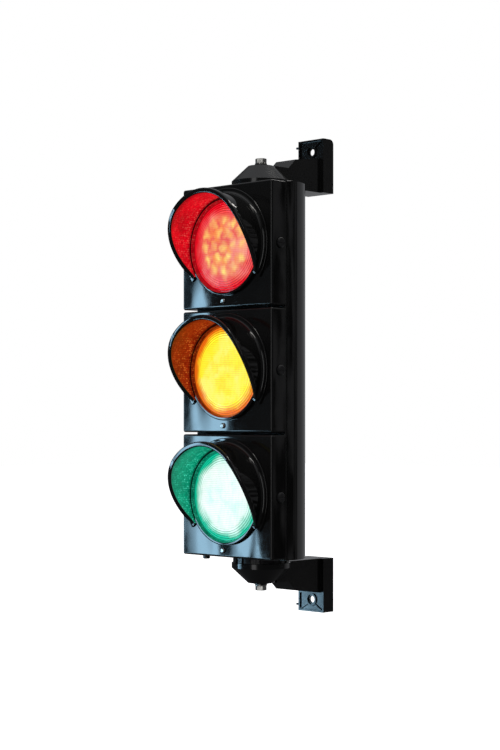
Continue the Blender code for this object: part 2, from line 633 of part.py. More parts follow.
def make_visor(colour, middle, parent):
    """Cutaway visor: a flanged tube round the top and sides, its mouth cut back towards the bottom."""
    steps = 30
    bm = bmesh.new()
    rows = []
    for i in range(steps + 1):
        turn = math.radians(VISOR_HALF_TURN * (2 * i / steps - 1))
        reach = visor_length(VISOR_OUT * math.cos(turn))
        spare = reach - VISOR_ROOT
        lip = VISOR_OUT + (VISOR_LIP - VISOR_OUT) * min(1.0, 0.4 + spare / 10)
        section = [(VISOR_IN, -GAP), (VISOR_IN, -reach), (lip, -reach), (lip, min(3.5, 0.35 * spare) - reach),
                   (VISOR_OUT, min(6.0, 0.7 * spare) - reach), (VISOR_OUT, -VISOR_ROOT),
                   (VISOR_OUT + 1.2, -2.4), (VISOR_FLANGE - 0.8, -2.0), (VISOR_FLANGE, -1.2),
                   (VISOR_FLANGE, -GAP)]
        rows.append([bm.verts.new((r * math.sin(turn), y, middle + r * math.cos(turn))) for r, y in section])
    count = len(rows[0])
    for here, there in zip(rows, rows[1:]):
        for i in range(count):
            j = (i + 1) % count
            bm.faces.new((here[i], there[i], there[j], here[j]))
    bm.faces.new(rows[0])
    bm.faces.new(rows[-1])
    visor = make(f"visor_{colour}", bm, parent, BLACK_GLOSS)
    pins = bmesh.new()
    for x, z in visor_pins():
        add_turned(pins, rod(1.5, -1.2, DOOR_FRONT + 3), (x, 0, middle + z), TO_BACK, 8)
    combine(visor, pins, "UNION")
    for word, (x, z) in zip(("left", "right"), visor_pins()):
        clip = bmesh.new()
        low = DOOR_FRONT + GAP
        add_turned(clip, tube(1.8, 3.2, low, low + 1), (x, 0, middle + z), TO_BACK, SMALL)
        make(f"visor_clip_{colour}_{word}", clip, parent, ZINC)


def make_latch(colour, middle, parent):
    """Quarter-turn latch through the door's right side; its cam turns up behind the case's hook."""
    knob = bmesh.new()
    add_turned(knob, [(0, HALF - 6.4), (2.5, HALF - 6.4), (2.5, HALF + GAP), (5.0, HALF + GAP),
                      (5.0, HALF + 1.2), (4.2, HALF + 1.8), (0, HALF + 1.8)],
               (0, LATCH_Y, middle), TO_RIGHT, 16)
    latch = make(f"latch_{colour}", knob, parent, BLACK_SATIN)
    cam = bmesh.new()
    add_box(cam, (HALF - 6.4, LATCH_Y - 2.7, middle - 2.7), (HALF - 3.8, LATCH_Y + LATCH_REACH, middle + 2.7))
    combine(latch, cam, "UNION")
    slot = bmesh.new()
    add_box(slot, (HALF + 1.0, LATCH_Y - 6, middle - 0.7), (HALF + 3.0, LATCH_Y + 6, middle + 0.7))
    combine(latch, slot, "DIFFERENCE")


def build():
    """Put the whole head together."""
    root = add_empty("head_frame", (0, 0, 0))
    root.location = (0, -WALL_Y * MM, -MOUNT_Z * MM)
    make_bracket("upper_bracket", 1, TOP_FACE, root)
    make_bracket("lower_bracket", -1, BOTTOM_FACE, root)

    head = add_empty("head_pivot", (0, PIVOT_Y, 0), root)
    make_case(head)
    make_pivot_rings(head)
    make_seal(head)
    make_chassis(head)
    make_wiring(head)
    make_gland(head)
    for index, colour in enumerate(COLOURS):
        middle = section_height(index)
        make_board(colour, middle, head)
        make_hinge_pin(colour, middle, head)
        hinge = add_empty(f"door_hinge_{colour}", (HINGE_X, HINGE_Y, middle), head)
        make_door(colour, middle, hinge)
        make_lens(colour, middle, hinge)
        make_visor(colour, middle, hinge)
        turner = add_empty(f"latch_axis_{colour}", (HALF, LATCH_Y, middle), hinge)
        make_latch(colour, middle, turner)


build()
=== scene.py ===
"""Looks of the three-aspect traffic signal head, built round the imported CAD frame.

Lengths are millimetres in the head's own frame, as in the CAD: X to the right, Y back from the front of
the doors, Z up from the middle of the case. world() turns them into metres in the row's frame.
"""

import json
import math

import bmesh
import bpy
from mathutils import Matrix, Vector

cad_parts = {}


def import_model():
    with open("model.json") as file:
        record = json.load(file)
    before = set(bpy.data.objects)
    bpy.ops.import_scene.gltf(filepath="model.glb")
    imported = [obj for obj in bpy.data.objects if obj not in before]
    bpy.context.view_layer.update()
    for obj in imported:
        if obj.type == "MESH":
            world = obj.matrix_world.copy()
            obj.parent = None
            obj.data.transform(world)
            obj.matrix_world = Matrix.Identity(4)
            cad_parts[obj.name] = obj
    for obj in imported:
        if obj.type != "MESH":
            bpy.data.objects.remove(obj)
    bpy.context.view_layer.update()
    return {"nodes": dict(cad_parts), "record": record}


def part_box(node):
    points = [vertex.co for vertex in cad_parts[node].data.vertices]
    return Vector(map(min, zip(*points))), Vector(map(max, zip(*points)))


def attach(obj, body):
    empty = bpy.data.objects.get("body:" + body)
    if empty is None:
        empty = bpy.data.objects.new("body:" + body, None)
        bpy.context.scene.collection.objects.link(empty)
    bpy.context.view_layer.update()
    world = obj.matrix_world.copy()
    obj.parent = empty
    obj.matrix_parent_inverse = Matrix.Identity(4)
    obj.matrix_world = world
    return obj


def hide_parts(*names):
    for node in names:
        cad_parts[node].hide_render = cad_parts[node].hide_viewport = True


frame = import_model()

MM = 0.001
GAP = 0.3
COLOURS = ("red", "amber", "green")

# --- sizes shared with the CAD ------------------------------------------------------------------------
HALF = 60.0
PITCH = 120.0
CASE_HALF = 180.0
DOOR_HALF = 59.0
DOOR_DEPTH = 19.2
DOOR_FRONT = 3.0
DOOR_WALL = 2.5
DOOR_ROUND = 2.0
CASE_FRONT = 21.5
CASE_BACK = 74.0
CASE_WALL = 3.0
CASE_ROUND = 44.0
LENS_R = 44.0
LENS_RISE = 4.5
LENS_THICK = 2.6
LENS_BACK_R = 41.0
LENS_FLANGE_R = 48.6
LENS_FLANGE_Y = DOOR_FRONT + 1.6
LENS_FLANGE_THICK = 2.0
PRISM_FROM = 32.5
PRISM_PITCH = 2.2
PRISM_GROOVE = 0.5
GRID_PITCH = 3.6
BORE_R = 44.8
RING_R = 47.5
RING_HEIGHT = 3.4
VISOR_IN = 47.9
VISOR_OUT = 50.4
VISOR_LIP = 52.8
VISOR_ROOT = 4.2
VISOR_FLANGE = 55.7
VISOR_LONG = 35.0
VISOR_SHORT = 4.6
VISOR_HALF_TURN = 125.0
PIVOT_Y = 48.6
PIVOT_BOLT_R = 3.0
BOLT_HEAD_R = 5.7
BOLT_HEAD_HIGH = 4.2
WASHER_HOLE_R = 3.3
WASHER_R = 5.9
WASHER_THICK = 1.2
WASHER_CHAMFER = 0.2
TOP_FACE = 181.8
BOTTOM_FACE = 186.5
HUB_R = 28.8
HUB_FLAT_R = 12.9
HUB_HIGH = 20.0
HUB_RIM = 5.0
COLLAR_R = 6.5
COLLAR_HIGH = 1.5
ARM_HALF = 13.0
ARM_NOSE_Y = 75.4
PLATE_Y = 122.0
WALL_Y = 137.3
PLATE_HALF = 17.0
PLATE_HIGH = 54.6
PLATE_RIM = 1.9
PLATE_FACE = 4.0
PLATE_DISH = 1.5
PLATE_HOLLOW_Z = 36.0
WALL_HOLE_Z = 42.3
WALL_HOLE_R = 3.5
PEG_Z = 48.6
PEG_R = 1.1
PEG_LONG = 4.4
HINGE = (-64.0, 20.35)
KNUCKLE_R = 3.45
CASE_KNUCKLE = (18.0, 29.4)
DOOR_KNUCKLE = (30.0, 42.0)
PIN_HOLE_R = 2.0
LATCH_Y = 12.0
LENS_SCREW = (-4.0, -52.5)
VISOR_PIN_R = 53.0
VISOR_PIN_TURN = 50.0
CHASSIS_Y = 33.5
BOARD_Y = 27.0
BOARD_R = 46.6
BOARD_THICK = 1.6
BOARD_FIX_X = 40.0
LED_R = 2.45
LED_BASE = 2.5
LED_RINGS = ((1, 0.0), (6, 15.0), (12, 30.0))
GLAND_Z = -100.0
DRAIN = (-53.5, 26.5)
ROUND = 96
SHARP_FROM = math.radians(32)
BEVEL_FROM = math.radians(38)

case_low, case_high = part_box("rear_case")
plate_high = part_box("upper_bracket")[1]
ORIGIN = Vector((0, plate_high.y - WALL_Y * MM, (case_low.z + case_high.z) / 2))

UPRIGHT = Matrix.Identity(4)
UPSIDE_DOWN = Matrix.Rotation(math.pi, 4, "X")
TO_BACK = Matrix.Rotation(-math.pi / 2, 4, "X")
TO_RIGHT = Matrix.Rotation(math.pi / 2, 4, "Y")

# --- camera -------------------------------------------------------------------------------------------
CAMERA_TURN = math.radians(43.82)
CAMERA_AT = (1133.3, -1147.9, -44.3)
CAMERA_LENS = 80.6
CAMERA_SHIFT = 0.0563


def world(x, y, z):
    """A point of the head's frame, in metres in the row's frame."""
    return ORIGIN + Vector((x, y, z)) * MM


def section_height(index):
    """Height of a section's lens axis; 0 is the top section."""
    return PITCH * (1 - index)


def make_camera():
    """The camera stands to the right of the head, level, a little below the middle."""
    data = bpy.data.cameras.new("camera")
    data.lens = CAMERA_LENS
    data.shift_y = CAMERA_SHIFT
    camera = bpy.data.objects.new("camera", data)
    bpy.context.scene.collection.objects.link(camera)
    camera.location = world(*CAMERA_AT)
    camera.rotation_euler = (math.pi / 2, 0, CAMERA_TURN)
    bpy.context.scene.camera = camera


# --- material helpers ---------------------------------------------------------------------------------
def new_material(name):
    """A material with its node tree and Principled shader."""
    material = bpy.data.materials.new(name)
    material.use_nodes = True
    tree = material.node_tree
    return material, tree, tree.nodes["Principled BSDF"]


def feed(tree, socket, value):
    """Link a socket, or set a plain value."""
    if isinstance(value, bpy.types.NodeSocket):
        tree.links.new(value, socket)
    else:
        socket.default_value = value


def calc(tree, operation, *values, clamp=False):
    """One Math node."""
    step = tree.nodes.new("ShaderNodeMath")
    step.operation = operation
    step.use_clamp = clamp
    for socket, value in zip(step.inputs, values):
        feed(tree, socket, value)
    return step.outputs[0]


def remap(tree, value, low, high, to_low, to_high):
    """Stretch a value from one range to another, held at the ends."""
    step = tree.nodes.new("ShaderNodeMapRange")
    for name, number in (("From Min", low), ("From Max", high), ("To Min", to_low), ("To Max", to_high)):
        step.inputs[name].default_value = number
    tree.links.new(value, step.inputs["Value"])
    return step.outputs["Result"]


def mix(tree, factor, one, two):
    """Blend two colours."""
    step = tree.nodes.new("ShaderNodeMix")
    step.data_type = "RGBA"
    feed(tree, step.inputs["Factor"], factor)
    for socket, colour in ((step.inputs[6], one), (step.inputs[7], two)):
        feed(tree, socket, (*colour, 1.0) if isinstance(colour, tuple) else colour)
    return step.outputs[2]


def place_of(tree):
    """The point's own coordinates in the piece, in metres."""
    return tree.nodes.new("ShaderNodeTexCoord").outputs["Object"]


def noise(tree, scale, detail=3.0, stretch=None):
    """Noise over the piece; scale is in lumps per metre."""
    step = tree.nodes.new("ShaderNodeTexNoise")
    step.inputs["Scale"].default_value = scale
    step.inputs["Detail"].default_value = detail
    source = place_of(tree)
    if stretch:
        mapping = tree.nodes.new("ShaderNodeMapping")
        mapping.inputs["Scale"].default_value = stretch
        tree.links.new(source, mapping.inputs["Vector"])
        source = mapping.outputs["Vector"]
    tree.links.new(source, step.inputs["Vector"])
    return step.outputs["Fac"]


def bump(tree, shader, height, distance, strength=1.0):
    """Raise the surface by height times distance metres, on top of any bump already there."""
    step = tree.nodes.new("ShaderNodeBump")
    step.inputs["Distance"].default_value = distance
    step.inputs["Strength"].default_value = strength
    tree.links.new(height, step.inputs["Height"])
    before = shader.inputs["Normal"].links
    if before:
        tree.links.new(before[0].from_socket, step.inputs["Normal"])
    tree.links.new(step.outputs["Normal"], shader.inputs["Normal"])


def moulded(name, colour, rough, grain_scale, grain_depth, wave_depth):
    """Moulded plastic or rubber: slow waves, fine grain, and roughness and tone that wander a little."""
    material, tree, shader = new_material(name)
    tone = remap(tree, noise(tree, 25.0, 4.0), 0.3, 0.7, 0.0, 1.0)
    lighter = tuple(min(1.0, c * 1.5 + 0.003) for c in colour)
    tree.links.new(mix(tree, tone, colour, lighter), shader.inputs["Base Color"])
    tree.links.new(remap(tree, noise(tree, 70.0, 5.0), 0.3, 0.7, *rough), shader.inputs["Roughness"])
    bump(tree, shader, noise(tree, 34.0, 1.0), wave_depth)
    bump(tree, shader, noise(tree, grain_scale, 2.0), grain_depth)
    return material


def metal(name, colour, rough, streak):
    """Plated steel: fine drawn streaks and cloudy roughness."""
    material, tree, shader = new_material(name)
    shader.inputs["Metallic"].default_value = 1.0
    cloud = noise(tree, 300.0, 4.0)
    darker = tuple(c * 0.62 for c in colour)
    tree.links.new(mix(tree, cloud, darker, colour), shader.inputs["Base Color"])
    tree.links.new(remap(tree, cloud, 0.3, 0.7, *rough), shader.inputs["Roughness"])
    bump(tree, shader, noise(tree, 900.0, 2.0, (1.0, 1.0, streak)), 0.00002)
    return material


# --- light patterns of the lenses, and lens light painted on the plastic beside them ------------------
SPOT_RINGS = ((1, 0.0), (6, 12.5), (12, 25.0))
# inside and glint are not the plastic's own colour: they are painted lens light, the glow and glints on the
# visor's inner wall and the door's ring.
LENS_COLOURS = {
    "red": {"rim": (0.64, 0.003, 0.014), "field": (0.76, 0.075, 0.09), "haze": (0.90, 0.30, 0.26),
            "patch": (0.95, 0.30, 0.06), "spot": (1.0, 0.80, 0.20), "spot_size": 4.8, "spot_power": 1.0,
            "edge": (31.0, 41.0), "inside": (0.74, 0.001, 0.010), "glint": (1.0, 0.12, 0.10),
            "base": (0.35, 0.01, 0.01)},
    "amber": {"rim": (0.74, 0.13, 0.005), "field": (1.0, 0.90, 0.03), "haze": (1.0, 0.98, 0.20),
              "patch": (1.0, 0.76, 0.01), "spot": (1.0, 0.98, 0.09), "spot_size": 5.2, "spot_power": 0.7,
              "edge": (33.5, 41.5), "inside": (0.27, 0.012, 0.001), "glint": (1.0, 0.24, 0.03),
              "base": (0.4, 0.13, 0.01)},
    "green": {"rim": (0.004, 0.45, 0.27), "field": (0.83, 1.0, 0.95), "haze": (0.97, 1.0, 1.0),
              "patch": (0.60, 0.98, 0.90), "spot": (1.0, 1.0, 1.0), "spot_size": 5.6, "spot_power": 0.9,
              "edge": (30.5, 40.0), "inside": (0.0, 0.29, 0.155), "glint": (0.10, 1.0, 0.68),
              "base": (0.01, 0.25, 0.16)},
}


def radius_of(tree, x, z):
    """Distance from the axis for the offsets x and z."""
    return calc(tree, "SQRT", calc(tree, "ADD", calc(tree, "MULTIPLY", x, x), calc(tree, "MULTIPLY", z, z)))


def lens_place(tree, middle):
    """Offsets from a lens axis in millimetres: sideways, upward, and back from the door's front."""
    axis = world(0, 0, middle)
    parts = tree.nodes.new("ShaderNodeSeparateXYZ")
    tree.links.new(place_of(tree), parts.inputs[0])
    x = calc(tree, "MULTIPLY", parts.outputs["X"], 1 / MM)
    z = calc(tree, "MULTIPLY", calc(tree, "SUBTRACT", parts.outputs["Z"], axis.z), 1 / MM)
    depth = calc(tree, "MULTIPLY", calc(tree, "SUBTRACT", parts.outputs["Y"], axis.y), 1 / MM)
    return x, z, depth


def spot_field(tree, x, z, size):
    """Bright round spots in rings, as many as there are emitters behind the lens."""
    angle = calc(tree, "ARCTAN2", z, x)
    radius = radius_of(tree, x, z)
    total = None
    for count, ring in SPOT_RINGS:
        turns = calc(tree, "ADD", calc(tree, "MULTIPLY", angle, count / (2 * math.pi)), 0.5)
        off = calc(tree, "SUBTRACT", calc(tree, "FRACT", turns), 0.5)
        along = calc(tree, "MULTIPLY", off, 2 * math.pi * ring / count)
        across = calc(tree, "SUBTRACT", radius, ring)
        square = calc(tree, "ADD", calc(tree, "MULTIPLY", along, along),
                      calc(tree, "MULTIPLY", across, across))
        spot = calc(tree, "EXPONENT", calc(tree, "MULTIPLY", square, -1 / size ** 2))
        total = spot if total is None else calc(tree, "MAXIMUM", total, spot)
    return total


def lens_material(colour, middle):
    """Lit lens: emitter spots under a fine grid in the middle, and bright prism rings near the rim."""
    looks = LENS_COLOURS[colour]
    material, tree, shader = new_material(f"lens_{colour}_lit")
    x, z, _ = lens_place(tree, middle)
    radius = radius_of(tree, x, z)
    ragged = calc(tree, "ADD", radius, remap(tree, noise(tree, 55.0, 3.0), 0.3, 0.7, -3.0, 3.0))
    inner = remap(tree, ragged, *looks["edge"], 1.0, 0.0)
    haze = remap(tree, noise(tree, 46.0, 3.0), 0.46, 0.64, 0.0, 0.9)
    patch = remap(tree, noise(tree, 95.0, 4.0), 0.46, 0.60, 0.0, 0.8)
    central = remap(tree, ragged, 14.0, 30.0, 1.0, 0.15)
    field = mix(tree, haze, looks["field"], looks["haze"])
    field = mix(tree, calc(tree, "MULTIPLY", patch, central), field, looks["patch"])
    stray_x = calc(tree, "ADD", x, remap(tree, noise(tree, 120.0, 1.0), 0.3, 0.7, -2.2, 2.2))
    stray_z = calc(tree, "ADD", z, remap(tree, noise(tree, 135.0, 1.0), 0.3, 0.7, -2.2, 2.2))
    uneven = remap(tree, noise(tree, 62.0, 1.0), 0.38, 0.62, 0.45 * looks["spot_power"], looks["spot_power"])
    spots = calc(tree, "MULTIPLY", spot_field(tree, stray_x, stray_z, looks["spot_size"]), uneven)
    colour_out = mix(tree, inner, looks["rim"], mix(tree, spots, field, looks["spot"]))

    fine, prism = 2 * math.pi / GRID_PITCH, 2 * math.pi / PRISM_PITCH
    grid_u = calc(tree, "SINE", calc(tree, "MULTIPLY", calc(tree, "ADD", x, z), fine))
    grid_v = calc(tree, "SINE", calc(tree, "MULTIPLY", calc(tree, "SUBTRACT", x, z), fine))
    rings = calc(tree, "SINE", calc(tree, "MULTIPLY", calc(tree, "SUBTRACT", radius, PRISM_FROM), prism))
    at_rim = remap(tree, radius, PRISM_FROM - 1.5, PRISM_FROM + 0.5, 0.0, 1.0)
    texture = mix(tree, at_rim, calc(tree, "MULTIPLY", grid_u, grid_v), rings)
    contrast = remap(tree, radius, PRISM_FROM - 2.0, PRISM_FROM + 2.0, 0.22, 0.42)
    tone = calc(tree, "ADD", calc(tree, "MULTIPLY", texture, contrast), 0.94)
    edge = remap(tree, radius, 41.5, LENS_R, 1.0, 0.35)
    shader.inputs["Base Color"].default_value = (*looks["base"], 1.0)
    tree.links.new(colour_out, shader.inputs["Emission Color"])
    tree.links.new(calc(tree, "MULTIPLY", tone, edge), shader.inputs["Emission Strength"])
    shader.inputs["Roughness"].default_value = 0.16
    shader.inputs["Specular IOR Level"].default_value = 0.22
    bump(tree, shader, texture, 0.0001)
    return material


def painted_glow_material(name, colour, middle):
    """Black plastic beside a lit lens, with the lens's light painted on it: an emitted glow standing in for
    its reflection, with rows of painted glints.
    """
    looks = LENS_COLOURS[colour]
    material, tree, shader = new_material(name)
    x, z, depth = lens_place(tree, middle)
    turn = calc(tree, "MULTIPLY", calc(tree, "ARCTAN2", x, z), VISOR_IN)
    forward = calc(tree, "MULTIPLY", depth, -1.0)
    flat = tree.nodes.new("ShaderNodeCombineXYZ")
    for socket, value in zip(flat.inputs, (turn, forward, 0.0)):
        feed(tree, socket, value)
    cells = tree.nodes.new("ShaderNodeTexVoronoi")
    cells.inputs["Scale"].default_value = 0.46
    cells.inputs["Randomness"].default_value = 0.4
    tree.links.new(flat.outputs[0], cells.inputs["Vector"])
    # Rows of painted glints: dots that twinkle and are strongest near the lens; the dots also give a fine
    # bump.
    dots = remap(tree, cells.outputs["Distance"], 0.15, 0.48, 1.0, 0.0)
    twinkle = remap(tree, noise(tree, 260.0, 2.0), 0.42, 0.62, 0.1, 1.0)
    near_lens = remap(tree, forward, 4.0, 24.0, 1.0, 0.35)
    glints = calc(tree, "MULTIPLY", calc(tree, "MULTIPLY", dots, twinkle), near_lens)
    glow = mix(tree, glints, looks["inside"], looks["glint"])
    # Strength of the painted glow: mottled, lower right at the lens and lower towards the visor's mouth.
    cloud = remap(tree, noise(tree, 60.0, 4.0), 0.3, 0.7, 0.75, 1.15)
    grain = remap(tree, noise(tree, 700.0, 2.0), 0.35, 0.65, 0.68, 1.12)
    off_lens = remap(tree, forward, 2.6, 5.5, 0.5, 1.0)
    to_mouth = remap(tree, forward, 26.0, 34.5, 1.0, 0.5)
    mottle = calc(tree, "MULTIPLY", cloud, grain)
    level = calc(tree, "MULTIPLY", mottle, calc(tree, "MULTIPLY", off_lens, to_mouth))
    # The painted lens light is emitted over near-black plastic.
    tree.links.new(glow, shader.inputs["Emission Color"])
    tree.links.new(level, shader.inputs["Emission Strength"])
    shader.inputs["Base Color"].default_value = (0.008, 0.008, 0.009, 1.0)
    shader.inputs["Roughness"].default_value = 0.3
    shader.inputs["Specular IOR Level"].default_value = 0.12
    bump(tree, shader, dots, 0.00008)
    return material


def board_material():
    """Solder resist with paler tracks."""
    material, tree, shader = new_material("circuit_board")
    tracks = tree.nodes.new("ShaderNodeTexBrick")
    tracks.inputs["Scale"].default_value = 160.0
    tracks.inputs["Mortar Size"].default_value = 0.03
    tree.links.new(place_of(tree), tracks.inputs["Vector"])
    tree.links.new(mix(tree, tracks.outputs["Fac"], (0.012, 0.10, 0.035), (0.03, 0.2, 0.08)),
                   shader.inputs["Base Color"])
    shader.inputs["Roughness"].default_value = 0.35
    bump(tree, shader, tracks.outputs["Fac"], 0.00004)
    return material


def emitter_material(colour):
    """A lit emitter's clear dome."""
    material, tree, shader = new_material(f"emitter_{colour}")
    looks = LENS_COLOURS[colour]
    cloud = remap(tree, noise(tree, 500.0, 2.0), 0.3, 0.7, 0.75, 1.1)
    shader.inputs["Emission Color"].default_value = (*looks["spot"], 1.0)
    tree.links.new(cloud, shader.inputs["Emission Strength"])
    shader.inputs["Base Color"].default_value = (*looks["base"], 1.0)
    shader.inputs["Roughness"].default_value = 0.08
    return material


LEAD_TINTS = {"red": (0.5, 0.02, 0.02), "amber": (0.6, 0.3, 0.02), "green": (0.02, 0.3, 0.09)}
MATERIALS = {
    "case_plastic": moulded("case_plastic", (0.006, 0.006, 0.006), (0.012, 0.045), 900.0, 0.000001, 0.00003),
    "bracket_plastic": moulded("bracket_plastic", (0.006, 0.006, 0.006), (0.12, 0.22), 1400.0, 0.00001,
                               0.00015),
    "satin_plastic": moulded("satin_plastic", (0.012, 0.012, 0.013), (0.3, 0.45), 1600.0, 0.00004, 0.0001),
    "rubber_seal": moulded("rubber_seal", (0.012, 0.012, 0.012), (0.65, 0.85), 2200.0, 0.00005, 0.0001),
    "chassis_grey": moulded("chassis_grey", (0.28, 0.29, 0.30), (0.4, 0.55), 1500.0, 0.00003, 0.0001),
    **{f"lead_{name}": moulded(f"lead_{name}", tint, (0.35, 0.5), 1800.0, 0.00003, 0.0001)
       for name, tint in LEAD_TINTS.items()},
    "zinc_steel": metal("zinc_steel", (0.60, 0.59, 0.56), (0.22, 0.42), 0.15),
    "circuit_board": board_material(),
}


# --- shapes -------------------------------------------------------------------------------------------
def add_box(bm, low, high):
    """A box between two corners."""
    verts = bmesh.ops.create_cube(bm, size=1.0)["verts"]
    low, high = Vector(low), Vector(high)
    for vert in verts:
        vert.co = Vector([low[i] + (vert.co[i] + 0.5) * (high[i] - low[i]) for i in range(3)])


def add_prism(bm, outline, place, low, high):
    """A closed outline pushed from low to high; place(u, v, w) gives the point for outline u, v."""
    rings = [[bm.verts.new(place(u, v, w)) for u, v in outline] for w in (low, high)]
    count = len(outline)
    bm.faces.new(rings[0])
    bm.faces.new(rings[1])
    for i in range(count):
        j = (i + 1) % count
        bm.faces.new((rings[0][i], rings[0][j], rings[1][j], rings[1][i]))


def add_turned(bm, profile, centre=(0, 0, 0), turn=UPRIGHT, sides=ROUND):
    """Turn a profile of (radius, height) points about the local Z axis, as a ring or a solid."""
    solid = profile[0][0] == 0 and profile[-1][0] == 0
    frame_of = Matrix.Translation(centre) @ turn
    poles = {i: bm.verts.new(frame_of @ Vector((0, 0, h))) for i, (r, h) in enumerate(profile) if r == 0}
    columns = []
    for side in range(sides):
        angle = 2 * math.pi * (side + 0.5) / sides
        columns.append([poles[i] if r == 0 else
                        bm.verts.new(frame_of @ Vector((r * math.cos(angle), r * math.sin(angle), h)))
                        for i, (r, h) in enumerate(profile)])
    steps = len(profile) - 1 if solid else len(profile)
    faces = []
    for side in range(sides):
        here, there = columns[side], columns[(side + 1) % sides]
        for i in range(steps):
            j = (i + 1) % len(profile)
            corners = list(dict.fromkeys((here[i], there[i], there[j], here[j])))
            faces.append(bm.faces.new(corners))
    return faces


def rod(radius, low, high):
    """Profile of a plain round bar."""
    return [(0, low), (radius, low), (radius, high), (0, high)]


def arc(centre, radius, start, end, steps):
    """Points on an arc, angles in degrees."""
    turns = [math.radians(start + (end - start) * i / steps) for i in range(steps + 1)]
    return [(centre[0] + radius * math.cos(a), centre[1] + radius * math.sin(a)) for a in turns]


def bevel_where(bm, test, width, segments):
    """Round every edge whose two ends pass the test."""
    edges = [e for e in bm.edges if test(e.verts[0].co, e.verts[1].co)]
    bmesh.ops.bevel(bm, geom=edges, offset=width, segments=segments, affect="EDGES", profile=0.5)


def to_mesh(name, bm):
    """A finished bmesh as a mesh in the row's frame."""
    bmesh.ops.recalc_face_normals(bm, faces=bm.faces)
    for vert in bm.verts:
        vert.co = world(*vert.co)
    mesh = bpy.data.meshes.new(name)
    bm.to_mesh(mesh)
    bm.free()
    return mesh


def make(name, bm, materials):
    """A new piece, not yet riding on anything."""
    piece = bpy.data.objects.new(name, to_mesh(name, bm))
    bpy.context.scene.collection.objects.link(piece)
    for material in materials:
        piece.data.materials.append(material)
    return piece


def combine(piece, bm, operation):
    """Join the shapes in bm to a piece (UNION) or cut them out of it (DIFFERENCE), and keep the result."""
    tool = bpy.data.objects.new("tool", to_mesh("tool", bm))
    bpy.context.scene.collection.objects.link(tool)
    change = piece.modifiers.new("combine", "BOOLEAN")
    change.operation = operation
    change.solver = "EXACT"
    change.use_self = True
    change.object = tool
    bpy.context.view_layer.update()
    done = piece.evaluated_get(bpy.context.evaluated_depsgraph_get())
    result = bpy.data.meshes.new_from_object(done)
    piece.modifiers.clear()
    piece.data = result
    bpy.data.objects.remove(tool)


def settle(piece, body, nodes, edge=0.0, segments=2):
    """Smooth a piece, round its sharp edges, and hang it on a body in place of CAD nodes."""
    piece.data.shade_smooth()
    piece.data.set_sharp_from_angle(angle=SHARP_FROM)
    if edge:
        soft = piece.modifiers.new("soft_edges", "BEVEL")
        soft.width = edge * MM
        soft.segments = segments
        soft.limit_method = "ANGLE"
        soft.angle_limit = BEVEL_FROM
        soft.miter_outer = "MITER_ARC"
        soft.harden_normals = True
    even = piece.modifiers.new("even_shading", "WEIGHTED_NORMAL")
    even.keep_sharp = True
    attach(piece, body)
    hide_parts(*nodes)


